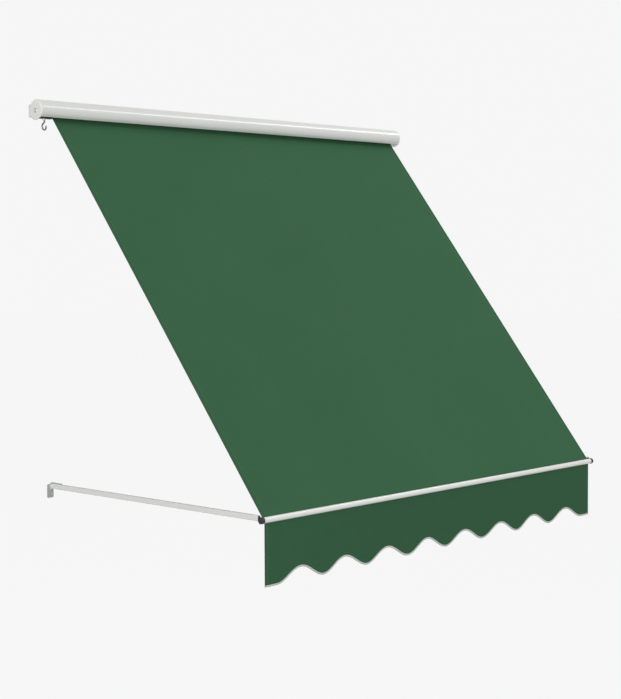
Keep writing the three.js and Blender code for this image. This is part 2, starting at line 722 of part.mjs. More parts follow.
for (const [hand, side] of [["left", -1], ["right", 1]]) {
  const end = side < 0 ? BAR_X0 : BAR_X1;
  const along = (near, far) => rising(end + side * near, end + side * far);
  const toothed = cut(
    prismX(disc(BAR_R - BAR_WALL - GAP), ...along(-26, COLLAR), 12),
    ...rods(CORD_POCKET_R + POCKET_WALL + GAP, ...along(-27, GAP), 6),
  );
  const collar = prismX(disc(BAR_R - 0.4), ...along(GAP, GAP + COLLAR), 14);
  const pin = prismX(disc(PIN_R), ...along(0, 2 * GAP + COLLAR + KNUCKLE - 3), 8);
  place(barLine, `bar_plug_${hand}`, join(toothed, collar, pin), NYLON);

  // Arm: knuckle on the bar, tube, root in the wall bracket
  const knuckleX = along(2 * GAP + COLLAR, 2 * GAP + COLLAR + KNUCKLE);
  const armX = (knuckleX[0] + knuckleX[1]) / 2;
  const arm = new THREE.Group();
  arm.position.x = armX;
  armLine.add(arm);
  const frontEnd = -ARM_LENGTH + KNUCKLE_R + GAP;
  const rootEnd = -ROOT;
  const stubW = ARM_WIDTH / 2 - ARM_WALL - GAP;
  const stubH = ARM_HEIGHT / 2 - ARM_WALL - GAP;

  const tubeShape = rounded(-ARM_WIDTH / 2, ARM_WIDTH / 2, -ARM_HEIGHT / 2, ARM_HEIGHT / 2, 2.4);
  const w = ARM_WIDTH / 2 - ARM_WALL;
  const h = ARM_HEIGHT / 2 - ARM_WALL;
  tubeShape.holes.push(rounded(-w, w, -h, h, 1));
  place(arm, `arm_tube_${hand}`, prismY(tubeShape, frontEnd + GAP, rootEnd - GAP, 3), GREY);

  const eye = prismX(disc(KNUCKLE_R, -ARM_LENGTH, -ARM_RISE), -KNUCKLE / 2, KNUCKLE / 2, 18);
  const neckShape = outline([
    [frontEnd, -stubH],
    [frontEnd, KNUCKLE_R - ARM_RISE - 1],
    [-ARM_LENGTH, KNUCKLE_R - ARM_RISE - 1],
    [-ARM_LENGTH, -stubH],
  ]);
  const neck = prismX(neckShape, -KNUCKLE / 2, KNUCKLE / 2);
  const stub = box(-stubW, stubW, frontEnd - 1, frontEnd + 34, -stubH, stubH);
  const blind = rising(-side * (KNUCKLE / 2 + 1), side * (KNUCKLE / 2 - 2.7));
  const bore = prismX(disc(PIN_R + GAP, -ARM_LENGTH, -ARM_RISE), ...blind, 12);
  place(arm, `bar_knuckle_${hand}`, cut(join(eye, neck, stub), bore), BLACK);

  const rootShape = new THREE.Shape();
  rootShape.absarc(0, 0, ARM_HEIGHT / 2, -Math.PI / 2, Math.PI / 2);
  rootShape.lineTo(rootEnd, ARM_HEIGHT / 2);
  rootShape.lineTo(rootEnd, -ARM_HEIGHT / 2);
  rootShape.closePath();
  const root = cut(
    join(
      prismX(rootShape, -ARM_WIDTH / 2, ARM_WIDTH / 2, 10),
      box(-stubW, stubW, rootEnd - 34, rootEnd + 1, -stubH, stubH),
    ),
    prismX(disc(PIVOT_R + GAP), -ARM_WIDTH, ARM_WIDTH, 10),
  );
  place(arm, `arm_root_${hand}`, root, GREY);

  // Wall bracket: base plate and one cheek on the inner side of the arm, standing a little above it
  const inside = ARM_WIDTH / 2 + GAP;
  const outside = inside + CHEEK;
  const top = ARM_HEIGHT / 2 + CHEEK_RISE;
  const low = 2 - ARM_HEIGHT / 2;
  const shoulder = ARM_STANDOFF - 16;
  const cheekShape = new THREE.Shape();
  cheekShape.moveTo(ARM_STANDOFF, -BASE_FOOT / 2);
  cheekShape.lineTo(ARM_STANDOFF, 2);
  cheekShape.quadraticCurveTo(ARM_STANDOFF, top, shoulder, top);
  cheekShape.lineTo(4 - CHEEK_REACH, top);
  cheekShape.quadraticCurveTo(-CHEEK_REACH, top, -CHEEK_REACH, top - 4);
  cheekShape.lineTo(-CHEEK_REACH, low);
  cheekShape.lineTo(shoulder, low);
  cheekShape.closePath();
  cheekShape.holes.push(hole(PIVOT_R + GAP));
  const baseEnds = rising(side * BASE_OUT, side * (BASE_OUT - BASE_WIDE));
  const baseShape = rounded(...baseEnds, -BASE_FOOT, 4, 5);
  const screwX = (-side * (outside + BASE_WIDE - BASE_OUT)) / 2;
  baseShape.holes.push(hole(SCREW_R, screwX, 12 - BASE_FOOT), hole(SCREW_R, screwX, -8));
  const bracket = join(
    prismY(baseShape, ARM_STANDOFF - PLATE, ARM_STANDOFF, 4),
    prismX(cheekShape, ...rising(-side * inside, -side * outside), 6),
  );
  place(arm, `arm_bracket_${hand}`, bracket, MID_GREY);

  // Pivot bolt from the outer side, nut behind the cheek
  const seat = outside + GAP;
  const shank = prismX(disc(PIVOT_R), ...rising(side * (inside + 1), -side * (seat + 8)), 10);
  const head = prismX(disc(6.5), ...rising(side * inside, side * (inside + 4)), 12);
  place(arm, `pivot_bolt_${hand}`, join(shank, head), GREY);
  const nut = hexagon(7.4);
  nut.holes.push(hole(PIVOT_R + GAP));
  place(arm, `pivot_nut_${hand}`, prismX(nut, ...rising(-side * seat, -side * (seat + 6)), 10), STEEL);
}

export default awning;
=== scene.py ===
import json
import math

import bpy
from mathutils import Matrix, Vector


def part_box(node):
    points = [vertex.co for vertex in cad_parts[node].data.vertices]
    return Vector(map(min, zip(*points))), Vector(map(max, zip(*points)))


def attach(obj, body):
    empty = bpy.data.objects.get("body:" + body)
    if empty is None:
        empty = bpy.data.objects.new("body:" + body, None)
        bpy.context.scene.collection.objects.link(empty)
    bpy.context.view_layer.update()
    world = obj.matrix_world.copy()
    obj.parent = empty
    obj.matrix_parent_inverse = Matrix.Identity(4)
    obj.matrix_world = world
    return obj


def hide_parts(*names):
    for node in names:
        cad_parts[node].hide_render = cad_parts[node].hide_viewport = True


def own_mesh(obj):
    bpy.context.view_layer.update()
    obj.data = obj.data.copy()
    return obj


# Looks of a drop-arm awning: hooded roller, green cloth, two arms, round front bar, scalloped valance.
# Metres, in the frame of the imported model: x along the wall, +y into the wall, z up, roller axis at z = 0.

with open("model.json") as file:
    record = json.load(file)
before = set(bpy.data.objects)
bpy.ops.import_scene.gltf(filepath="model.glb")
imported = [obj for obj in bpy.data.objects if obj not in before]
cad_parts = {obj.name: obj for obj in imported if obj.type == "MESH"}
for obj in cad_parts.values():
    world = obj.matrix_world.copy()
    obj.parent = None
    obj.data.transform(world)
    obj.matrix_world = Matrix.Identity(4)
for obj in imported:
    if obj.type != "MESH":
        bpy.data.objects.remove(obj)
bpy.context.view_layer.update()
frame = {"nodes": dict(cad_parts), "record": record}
nodes = frame["nodes"]
behaviour = frame["record"]["behaviour"]
body_of = {node: body for body, members in behaviour["bodies"].items() for node in members}
axis_at = {joint["name"]: joint["pos_m"] for joint in behaviour["joints"]}

MM = 0.001


def tenth(value):
    """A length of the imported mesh, to a tenth of a millimetre, without its rounding error."""
    return round(float(value), 4)


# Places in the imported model
CLOTH_X0, CLOTH_X1 = (tenth(corner[0]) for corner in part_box("cloth_roll"))
CLOTH_WIDTH = CLOTH_X1 - CLOTH_X0
CLOTH_MID = (CLOTH_X0 + CLOTH_X1) / 2
ROLLER_Y = axis_at["roller_turn"][1]
BAR_Y, BAR_Z = axis_at["bar_level"][1:]
VALANCE_DROP = tenth(BAR_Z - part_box("valance_binding")[0][2])  # to the lowest point of its tape

# The sheet from roll to bar
ROLL_POINT = Vector((0, -27.4878, -11.4091)) * MM  # where the cloth leaves the roll
CLOTH_RUN = Vector((0, -0.618046, -0.786142))  # down the slope
CLOTH_FACE = Vector((0, CLOTH_RUN.z, -CLOTH_RUN.y))  # out of the weather side
RUN_LENGTH = 1699.1 * MM
CLOTH_THICK = 0.6 * MM
SAG = 5 * MM
HEM_HOLD = 4  # a higher power lets the full sag come nearer to the hems
SAG_SPREAD = 0.8  # a lower power spreads the sag nearer to roll and bar

# Hems, seam and their stitches
HEM = 22 * MM
HEM_STITCH = 19.5 * MM
VALANCE_HEM = 14 * MM
VALANCE_STITCH = 11.5 * MM
FOLD = 0.375 * MM  # radius of the cloth's middle where it turns back
FOLD_TAKES = 0.6 * MM  # length of cloth in one half of that turn, roughly
SEAM_LAP = 22 * MM
SEAM_STITCH = 3 * MM

# Valance
VALANCE_INSET = 4 * MM
VALANCE_X0 = CLOTH_X0 + VALANCE_INSET
VALANCE_X1 = CLOTH_X1 - VALANCE_INSET
VALANCE_TOP = -8.7 * MM  # from the bar's axis, in the mouth of the cloth's pocket
CLOTH_FOOT = 3 * MM  # how far the cloth ends above the edge of its tape
WAVE_HEIGHT = 43 * MM
NOTCHES = 8
END_LOBE = 57 * MM
FIRST_LOBE = VALANCE_X0 + END_LOBE
LAST_LOBE = VALANCE_X1 - END_LOBE
TAPE = 6.2 * MM
TAPE_THICK = 0.6 * MM

# How finely the cloth is laid out
HEM_COLUMNS = 4
VALANCE_HEM_COLUMNS = 3
FOLD_COLUMNS = 4
WIDTH_COLUMNS = 48
CANOPY_ROWS = 90
UNDERLAP_COLUMNS = 6
ROLL_COLUMNS = 24
ROLL_ROWS = 120
VALANCE_COLUMNS = 204
VALANCE_ROWS = 14
TAPE_COLUMNS = 400

# Mesh clean-up
WELD = 0.002 * MM
FLAT_WITHIN = math.radians(0.6)
BROKEN_ABOVE = math.radians(35)  # sharper edges than this are broken
SMOOTH_BELOW = math.radians(40)
TAPE_SMOOTH_BELOW = math.radians(50)


# Selecting and shaping

def only(piece):
    """Make one piece the selected and active one."""
    bpy.ops.object.select_all(action="DESELECT")
    piece.select_set(True)
    bpy.context.view_layer.objects.active = piece


def apply_modifier(piece, kind, **settings):
    """Put a modifier on a piece and make its result the mesh."""
    only(piece)
    modifier = piece.modifiers.new(kind.lower(), kind)
    for name, value in settings.items():
        setattr(modifier, name, value)
    bpy.ops.object.modifier_apply(modifier=modifier.name)


def smoothed(piece, below=SMOOTH_BELOW):
    """Shade a piece smooth where its faces meet at less than an angle."""
    only(piece)
    bpy.ops.object.shade_smooth_by_angle(angle=below)


def thickened(piece, thickness=CLOTH_THICK):
    """Give a laid-out cloth its thickness, half to each side."""
    apply_modifier(piece, "SOLIDIFY", thickness=thickness, offset=0)


def softened(node, edge, round_off=0):
    """A copy of a rigid CAD solid, welded, with flat faces made whole and its edges broken."""
    mesh = nodes[node].data.copy()
    piece = bpy.data.objects.new(node + "_finished", mesh)
    mesh.name = piece.name
    bpy.context.scene.collection.objects.link(piece)
    only(piece)
    bpy.ops.mesh.customdata_custom_splitnormals_clear()
    bpy.ops.object.mode_set(mode="EDIT")
    bpy.ops.mesh.select_all(action="SELECT")
    bpy.ops.mesh.remove_doubles(threshold=WELD)
    bpy.ops.mesh.dissolve_limited(angle_limit=FLAT_WITHIN)
    bpy.ops.object.mode_set(mode="OBJECT")
    if edge:
        apply_modifier(
            piece, "BEVEL", width=edge * MM, segments=2, limit_method="ANGLE",
            angle_limit=BROKEN_ABOVE, use_clamp_overlap=True,
        )
    if round_off:
        apply_modifier(piece, "SUBSURF", levels=round_off, render_levels=round_off)
    smoothed(piece)
    # Large faces keep their own direction, so that highlights run straight along them
    apply_modifier(piece, "WEIGHTED_NORMAL", weight=100, keep_sharp=True)
    return piece


def cloth_grid(name, columns, rows, place, spread):
    """A grid laid out point by point; its map holds the flat cloth in metres."""
    bpy.ops.object.select_all(action="DESELECT")
    bpy.ops.mesh.primitive_grid_add(x_subdivisions=columns, y_subdivisions=rows, size=1)
    piece = bpy.context.object
    piece.name = piece.data.name = name
    mesh = piece.data
    index = [(round((v.co.x + 0.5) * columns), round((v.co.y + 0.5) * rows)) for v in mesh.vertices]
    flat = mesh.uv_layers.active.data
    for loop in mesh.loops:
        flat[loop.index].uv = spread(*index[loop.vertex_index])
    for vertex, at in zip(mesh.vertices, index):
        vertex.co = place(*at)
    mesh.update()
    return piece


def steps(start, end, count):
    """Evenly spaced values from start to end, the end left out."""
    return [start + (end - start) * k / count for k in range(count)]


def along(points):
    """How far along a drawn line each of its points lies."""
    far = [0.0]
    for a, b in zip(points, points[1:]):
        far.append(far[-1] + math.dist(a, b))
    return far


def folded_hem(edge, hem, columns, inward, face, back):
    """A hem as (x, height) points: from its cut end along the back, then round the fold to the face."""
    centre = edge + inward * FOLD
    points = [(x, face + back * 2 * FOLD) for x in steps(edge + inward * hem, centre, columns)]
    for k in range(FOLD_COLUMNS + 1):
        angle = math.pi * k / FOLD_COLUMNS
        points.append((centre - inward * FOLD * math.sin(angle), face + back * FOLD * (1 + math.cos(angle))))
    return points


def settle(piece, body, finish, stands_for):
    """Give a piece its finish and its place in the moving model."""
    piece.data.materials.clear()
    piece.data.materials.append(finish)
    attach(piece, body)
    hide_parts(stands_for)


# Finishes

# A Mix node's colour sockets share their names with others, so they are picked by number
FIRST_COLOUR = 6
SECOND_COLOUR = 7
MIXED_COLOUR = 2


def linear(hex_code):
    """An sRGB hex colour as the linear colour a shader takes."""
    channels = [int(hex_code[i:i + 2], 16) / 255 for i in (1, 3, 5)]
    return (*[c / 12.92 if c <= 0.04045 else ((c + 0.055) / 1.055) ** 2.4 for c in channels], 1.0)


def every(size):
    """The scale of a noise or checker whose marks lie size millimetres apart."""
    return 1000 / size


WAVE_TURN = 20  # radians that a wave texture turns through in a metre at a scale of one


def bands(size):
    """The scale of a wave texture whose bands lie size millimetres apart."""
    return 2 * math.pi / WAVE_TURN * 1000 / size


def wire(tree, node, inputs):
    """Give a node its values and its links."""
    for name, value in inputs.items():
        if isinstance(value, bpy.types.NodeSocket):
            tree.links.new(value, node.inputs[name])
        else:
            node.inputs[name].default_value = value


def add(tree, kind, inputs=None, **settings):
    """A new node with its settings, its values and its links."""
    node = tree.nodes.new(kind)
    for name, value in settings.items():
        setattr(node, name, value)
    wire(tree, node, inputs or {})
    return node


def new_finish(name):
    """A material, its node tree and its surface node."""
    material = bpy.data.materials.new(name)
    material.use_nodes = True
    tree = material.node_tree
    return material, tree, tree.nodes["Principled BSDF"]


def coated(name, tone, shade, smooth, rough, clear=0.0):
    # Polyester powder baked on metal: an even satin colour and a faint orange-peel skin that breaks up
    # highlights. On hood and bar a clear gloss on top draws a bright line.
    material, tree, surface = new_finish(name)
    place = add(tree, "ShaderNodeTexCoord").outputs["Object"]
    cloud = add(tree, "ShaderNodeTexNoise", {"Vector": place, "Scale": every(160), "Detail": 3.0})
    colour = add(
        tree, "ShaderNodeMix",
        {"Factor": cloud.outputs["Fac"], FIRST_COLOUR: linear(tone), SECOND_COLOUR: linear(shade)},
        data_type="RGBA",
    )
    flow = add(tree, "ShaderNodeTexNoise", {"Vector": place, "Scale": every(14), "Detail": 2.0})
    gloss = add(
        tree, "ShaderNodeMapRange",
        {"Value": flow.outputs["Fac"], "To Min": smooth, "To Max": rough},
    )
    peel = add(tree, "ShaderNodeTexNoise", {"Vector": place, "Scale": every(1.6), "Detail": 1.0})
    skin = add(
        tree, "ShaderNodeBump",
        {"Height": peel.outputs["Fac"], "Strength": 0.25, "Distance": 0.03 * MM},
    )
    wire(tree, surface, {
        "Base Color": colour.outputs[MIXED_COLOUR],
        "Roughness": gloss.outputs["Result"],
        "Normal": skin.outputs["Normal"],
        "IOR": 1.5,
        "Coat Weight": clear,
        "Coat Roughness": 0.14,
    })
    return material


def moulded(name, tone, shade, grain, smooth, rough):
    # Injection-moulded plastic from a spark-eroded tool: matt, with a fine even grain and slightly
    # cloudy colour and shine.
    material, tree, surface = new_finish(name)
    place = add(tree, "ShaderNodeTexCoord").outputs["Object"]
    cloud = add(tree, "ShaderNodeTexNoise", {"Vector": place, "Scale": every(30), "Detail": 4.0})
    colour = add(
        tree, "ShaderNodeMix",
        {"Factor": cloud.outputs["Fac"], FIRST_COLOUR: linear(tone), SECOND_COLOUR: linear(shade)},
        data_type="RGBA",
    )
    gloss = add(
        tree, "ShaderNodeMapRange",
        {"Value": cloud.outputs["Fac"], "To Min": smooth, "To Max": rough},
    )
    pits = add(tree, "ShaderNodeTexVoronoi", {"Vector": place, "Scale": every(grain)})
    skin = add(
        tree, "ShaderNodeBump",
        {"Height": pits.outputs["Distance"], "Strength": 0.3, "Distance": 0.05 * MM},
    )
    wire(tree, surface, {
        "Base Color": colour.outputs[MIXED_COLOUR],
        "Roughness": gloss.outputs["Result"],
        "Normal": skin.outputs["Normal"],
        "IOR": 1.52,
    })
    return material


def plated(name, tone, shade, smooth, rough):
    # Zinc-plated or dull bare steel: metal with cloudy patches and fine drawing lines along x.
    material, tree, surface = new_finish(name)
    place = add(tree, "ShaderNodeTexCoord").outputs["Object"]
    cloud = add(
        tree, "ShaderNodeTexNoise",
        {"Vector": place, "Scale": every(9), "Detail": 4.0, "Roughness": 0.6},
    )
    colour = add(
        tree, "ShaderNodeMix",
        {"Factor": cloud.outputs["Fac"], FIRST_COLOUR: linear(tone), SECOND_COLOUR: linear(shade)},
        data_type="RGBA",
    )
    gloss = add(
        tree, "ShaderNodeMapRange",
        {"Value": cloud.outputs["Fac"], "To Min": smooth, "To Max": rough},
    )
    drawn = add(tree, "ShaderNodeMapping", {"Vector": place, "Scale": (0.05, 1.0, 1.0)})
    lines = add(
        tree, "ShaderNodeTexNoise",
        {"Vector": drawn.outputs["Vector"], "Scale": every(0.7), "Detail": 1.0},
    )
    skin = add(
        tree, "ShaderNodeBump",
        {"Height": lines.outputs["Fac"], "Strength": 0.2, "Distance": 0.02 * MM},
    )
    wire(tree, surface, {
        "Base Color": colour.outputs[MIXED_COLOUR],
        "Roughness": gloss.outputs["Result"],
        "Normal": skin.outputs["Normal"],
        "Metallic": 1.0,
    })
    return material


def machined(name, tone, shade):
    # Cut bronze: warm metal with fine tool lines across the teeth.
    material, tree, surface = new_finish(name)
    place = add(tree, "ShaderNodeTexCoord").outputs["Object"]
    lines = add(
        tree, "ShaderNodeTexWave",
        {"Vector": place, "Scale": bands(0.5), "Distortion": 1.0}, bands_direction="X",
    )
    colour = add(
        tree, "ShaderNodeMix",
        {"Factor": lines.outputs["Fac"], FIRST_COLOUR: linear(tone), SECOND_COLOUR: linear(shade)},
        data_type="RGBA",
    )
    skin = add(
        tree, "ShaderNodeBump",
        {"Height": lines.outputs["Fac"], "Strength": 0.2, "Distance": 0.02 * MM},
    )
    wire(tree, surface, {
        "Base Color": colour.outputs[MIXED_COLOUR],
        "Normal": skin.outputs["Normal"],
        "Metallic": 1.0,
        "Roughness": 0.32,
    })
    return material


def canvas(name, tone, shade, stitched, painted_shade_spans):
    # Coated polyester canvas in plain weave: matt, with small slubs in both thread directions.
    # The real threads are about 0.5 mm apart; they are drawn 1.1 mm apart so that a near view shows them.
    thread_gap = 1.1
    slub_width = 2.5
    slub_length = 70
    material, tree, surface = new_finish(name)
    flat = add(tree, "ShaderNodeUVMap", uv_map="UVMap").outputs["UV"]
    split = add(tree, "ShaderNodeSeparateXYZ", {"Vector": flat})
    across = split.outputs["X"]
    down = split.outputs["Y"]
    warp = add(tree, "ShaderNodeTexWave", {"Vector": flat, "Scale": bands(thread_gap)}, bands_direction="X")
    weft = add(tree, "ShaderNodeTexWave", {"Vector": flat, "Scale": bands(thread_gap)}, bands_direction="Y")
    over = add(tree, "ShaderNodeTexChecker", {"Vector": flat, "Scale": every(thread_gap)})
    weave = add(
        tree, "ShaderNodeMix",
        {"Factor": over.outputs["Fac"], "A": warp.outputs["Fac"], "B": weft.outputs["Fac"]},
    )
    slubs = []
    for scale in ((every(slub_width), every(slub_length), 1), (every(slub_length), every(slub_width), 1)):
        drawn = add(tree, "ShaderNodeMapping", {"Vector": flat, "Scale": scale})
        slub = add(
            tree, "ShaderNodeTexNoise",
            {"Vector": drawn.outputs["Vector"], "Scale": 1.0, "Detail": 2.0},
        )
        slubs.append(slub.outputs["Fac"])
    cloud = add(tree, "ShaderNodeTexNoise", {"Vector": flat, "Scale": every(420), "Detail": 2.0})
    both = add(tree, "ShaderNodeMath", {0: slubs[0], 1: slubs[1]}, operation="ADD")
    blend = add(tree, "ShaderNodeMath", {0: both.outputs[0], 1: cloud.outputs["Fac"]}, operation="ADD")
    share = add(tree, "ShaderNodeMapRange", {"Value": blend.outputs[0], "From Min": 1.0, "From Max": 2.0})
    dyed = add(
        tree, "ShaderNodeMix",
        {"Factor": share.outputs["Result"], FIRST_COLOUR: linear(tone), SECOND_COLOUR: linear(shade)},
        data_type="RGBA",
    )
    colour = dyed.outputs[MIXED_COLOUR]

    # Painted shade: where the cloth lies doubled, over hems and seam, its colour is painted a little darker
    # to stand in for the shade that two layers show.
    layer_edge = 1.5 * MM
    painted_layer_shade = 0.055
    for start, end in painted_shade_spans:
        half = (end - start) / 2
        middle = add(tree, "ShaderNodeMath", {0: across, 1: (start + end) / 2}, operation="SUBTRACT")
        off = add(tree, "ShaderNodeMath", {0: middle.outputs[0]}, operation="ABSOLUTE")
        inside = add(
            tree, "ShaderNodeMapRange",
            {
                "Value": off.outputs[0], "From Min": half - layer_edge, "From Max": half + layer_edge,
                "To Min": painted_layer_shade, "To Max": 0.0,
            },
        )
        painted_darker = add(
            tree, "ShaderNodeMix",
            {
                "Factor": inside.outputs["Result"], FIRST_COLOUR: colour,
                SECOND_COLOUR: (0.0, 0.0, 0.0, 1.0),
            },
            data_type="RGBA",
        )
        colour = painted_darker.outputs[MIXED_COLOUR]

    # Rows of lockstitch with a short dive between them, in a thread a shade lighter.
    stitch_pitch = 4 * MM
    stitch_shown = 3.2 * MM
    thread_half = 0.55 * MM
    near = None
    for line in stitched:
        gap = add(tree, "ShaderNodeMath", {0: across, 1: line}, operation="SUBTRACT")
        off = add(tree, "ShaderNodeMath", {0: gap.outputs[0]}, operation="ABSOLUTE").outputs[0]
        if near is None:
            near = off
        else:
            near = add(tree, "ShaderNodeMath", {0: near, 1: off}, operation="MINIMUM").outputs[0]
    thread = add(tree, "ShaderNodeMath", {0: near, 1: thread_half}, operation="LESS_THAN")
    stitch = add(tree, "ShaderNodeMath", {0: down, 1: stitch_pitch}, operation="MODULO")
    shown = add(tree, "ShaderNodeMath", {0: stitch.outputs[0], 1: stitch_shown}, operation="LESS_THAN")
    sewn = add(tree, "ShaderNodeMath", {0: thread.outputs[0], 1: shown.outputs[0]}, operation="MULTIPLY")
    lighter = add(
        tree, "ShaderNodeMix",
        {"Factor": sewn.outputs[0], FIRST_COLOUR: colour, SECOND_COLOUR: linear("#5c8468")},
        data_type="RGBA",
    )

    # The thread pulls the cloth in along its row, deeper than the weave.
    pull_reach = 2.5 * MM
    pull_depth = 2.0
    pulled = add(tree, "ShaderNodeMapRange", {"Value": near, "From Min": 0.0, "From Max": pull_reach})
    height = add(tree, "ShaderNodeMath", {0: pulled.outputs["Result"], 1: pull_depth}, operation="MULTIPLY")
    relief = add(tree, "ShaderNodeMath", {0: height.outputs[0], 1: weave.outputs[0]}, operation="ADD")
    skin = add(
        tree, "ShaderNodeBump",
        {"Height": relief.outputs[0], "Strength": 0.5, "Distance": 0.12 * MM},
    )
    wire(tree, surface, {
        "Base Color": lighter.outputs[MIXED_COLOUR],
        "Normal": skin.outputs["Normal"],
        "Roughness": 0.9,
        "Specular IOR Level": 0.1,
    })
    return material


def woven_tape(name, tone, shade):
    # Woven polyester edge tape: pale, with a close rib across it and one row of stitches near its upper edge.
    row_at = 1.6 * MM
    stitch_pitch = 3.5 * MM
    stitch_shown = 2.8 * MM
    thread_half = 0.4 * MM
    material, tree, surface = new_finish(name)
    flat = add(tree, "ShaderNodeUVMap", uv_map="UVMap").outputs["UV"]
    split = add(tree, "ShaderNodeSeparateXYZ", {"Vector": flat})
    rib = add(tree, "ShaderNodeTexWave", {"Vector": flat, "Scale": bands(0.9)}, bands_direction="X")
    cloud = add(tree, "ShaderNodeTexNoise", {"Vector": flat, "Scale": every(25), "Detail": 3.0})
    dyed = add(
        tree, "ShaderNodeMix",
        {"Factor": cloud.outputs["Fac"], FIRST_COLOUR: linear(tone), SECOND_COLOUR: linear(shade)},
        data_type="RGBA",
    )
    off = add(tree, "ShaderNodeMath", {0: split.outputs["Y"], 1: row_at}, operation="SUBTRACT")
    near = add(tree, "ShaderNodeMath", {0: off.outputs[0]}, operation="ABSOLUTE")
    thread = add(tree, "ShaderNodeMath", {0: near.outputs[0], 1: thread_half}, operation="LESS_THAN")
    stitch = add(tree, "ShaderNodeMath", {0: split.outputs["X"], 1: stitch_pitch}, operation="MODULO")
    shown = add(tree, "ShaderNodeMath", {0: stitch.outputs[0], 1: stitch_shown}, operation="LESS_THAN")
    sewn = add(tree, "ShaderNodeMath", {0: thread.outputs[0], 1: shown.outputs[0]}, operation="MULTIPLY")
    lighter = add(
        tree, "ShaderNodeMix",
        {
            "Factor": sewn.outputs[0], FIRST_COLOUR: dyed.outputs[MIXED_COLOUR],
            SECOND_COLOUR: linear("#f0f1ec"),
        },
        data_type="RGBA",
    )
    skin = add(
        tree, "ShaderNodeBump",
        {"Height": rib.outputs["Fac"], "Strength": 0.5, "Distance": 0.08 * MM},
    )
    wire(tree, surface, {
        "Base Color": lighter.outputs[MIXED_COLOUR],
        "Normal": skin.outputs["Normal"],
        "Roughness": 0.8,
        "Specular IOR Level": 0.25,
    })
    return material


# Where folds, seam and rows of stitches lie across the flat cuts
FOLD_AT = HEM + FOLD_TAKES
CUT_WIDTH = CLOTH_WIDTH + 2 * FOLD_AT
SEAM_MIDDLE = CLOTH_MID - CLOTH_X0 + FOLD_AT
SEAM = (SEAM_MIDDLE - SEAM_LAP / 2, SEAM_MIDDLE + SEAM_LAP / 2)
VALANCE_FOLD_AT = VALANCE_HEM + FOLD_TAKES
VALANCE_CUT = VALANCE_X1 - VALANCE_X0 + 2 * VALANCE_FOLD_AT


def hem_rows(fold, stitch, cut):
    """The two lines that each hem's row of stitches shows on, under side and weather side."""
    left = [fold - stitch, fold + stitch]
    return left + [cut - line for line in left]


def hem_layers(hem, cut):
    """The stretch of face that lies over each hem, where the canvas gets its painted shade."""
    return [(hem, 2 * hem), (cut - 2 * hem, cut - hem)]


white_coat = coated("powder_coated_aluminium", "#e8e9e5", "#e2e3df", 0.26, 0.32, clear=0.5)
# Painted light: the bar has the hood's white powder coat, in a copy painted a little lighter to stand in for
# the light it catches.
bar_coat_painted_light = coated("powder_coated_bar_tube_painted_lighter", "#f3f4f0", "#eeefeb", 0.26, 0.32, clear=0.5)
grey_coat = coated("powder_coated_steel", "#edeeec", "#e6e7e5", 0.38, 0.46)
cap_plastic = moulded("moulded_cap_plastic", "#f6f6f0", "#efefe9", 0.8, 0.42, 0.52)
black_plastic = moulded("glass_filled_black_nylon", "#161617", "#101011", 0.7, 0.5, 0.62)
natural_nylon = moulded("natural_nylon", "#dad8ce", "#cfcdc2", 0.8, 0.45, 0.55)
bracket_coat = coated("mid_grey_powder_coat", "#c6c8c6", "#bdbfbd", 0.4, 0.5)
zinc_steel = plated("zinc_plated_steel", "#c8cbcd", "#b0b4b7", 0.3, 0.45)
dark_steel = plated("dull_grey_steel", "#7b7e80", "#66696b", 0.35, 0.5)
gear_bronze = machined("gear_bronze", "#b8944f", "#a5833f")
canopy_cloth = canvas(
    "canopy_canvas", "#3f6b4c", "#3a6547",
    hem_rows(FOLD_AT, HEM_STITCH, CUT_WIDTH) + [SEAM[0] + SEAM_STITCH, SEAM[1] - SEAM_STITCH],
    hem_layers(HEM, CUT_WIDTH) + [SEAM],
)
# Painted shade: the valance is the canopy's cloth, in a copy painted a little darker to stand in for the
# shade it hangs in.
valance_cloth_painted_shade = canvas(
    "valance_canvas_painted_darker", "#3c6549", "#375e43",
    hem_rows(VALANCE_FOLD_AT, VALANCE_STITCH, VALANCE_CUT),
    hem_layers(VALANCE_HEM, VALANCE_CUT),
)
edge_tape = woven_tape("woven_edge_tape", "#c9cfc7", "#bcc3ba")

# Camera

CAMERA_AT = (-4.4721, -4.5325, -0.5046)
CAMERA_TURN = (86.4737, 0.1117, -47.5812)
LENS = 80.84


def turned(degrees):
    """A rotation given in degrees, as Blender takes it."""
    return [math.radians(angle) for angle in degrees]


bpy.ops.object.select_all(action="DESELECT")
bpy.ops.object.camera_add(location=CAMERA_AT, rotation=turned(CAMERA_TURN))
camera = bpy.context.object
camera.data.lens = LENS
camera.data.sensor_width = 36
camera.data.clip_end = 300
bpy.context.scene.camera = camera

# Light and floor

BACKDROP = "#f6f6f6"
ROOM_LIGHT = 0.58
FLOOR_GREY = "#848484"
FLOOR_GLOW = 0.795
FLOOR_LEVEL = -4.5
FLOOR_WIDTH = 160


def seen_rays(tree):
    """1 for rays that show the background straight, mirrored or through glass, 0 for those of its light."""
    rays = add(tree, "ShaderNodeLightPath").outputs
    mirrored = add(
        tree, "ShaderNodeMath",
        {0: rays["Is Glossy Ray"], 1: rays["Is Transmission Ray"]}, operation="MAXIMUM",
    )
    seen = add(
        tree, "ShaderNodeMath",
        {0: rays["Is Camera Ray"], 1: mirrored.outputs[0]}, operation="MAXIMUM",
    )
    return seen.outputs[0]


def panel_lamp(at, turn, width, height, power):
    """A soft lamp that the camera doesn't see."""
    bpy.ops.object.light_add(type="AREA", location=at, rotation=turned(turn))
    lamp = bpy.context.object
    lamp.data.shape = "RECTANGLE"
    lamp.data.size = width
    lamp.data.size_y = height
    lamp.data.energy = power
    lamp.visible_camera = False


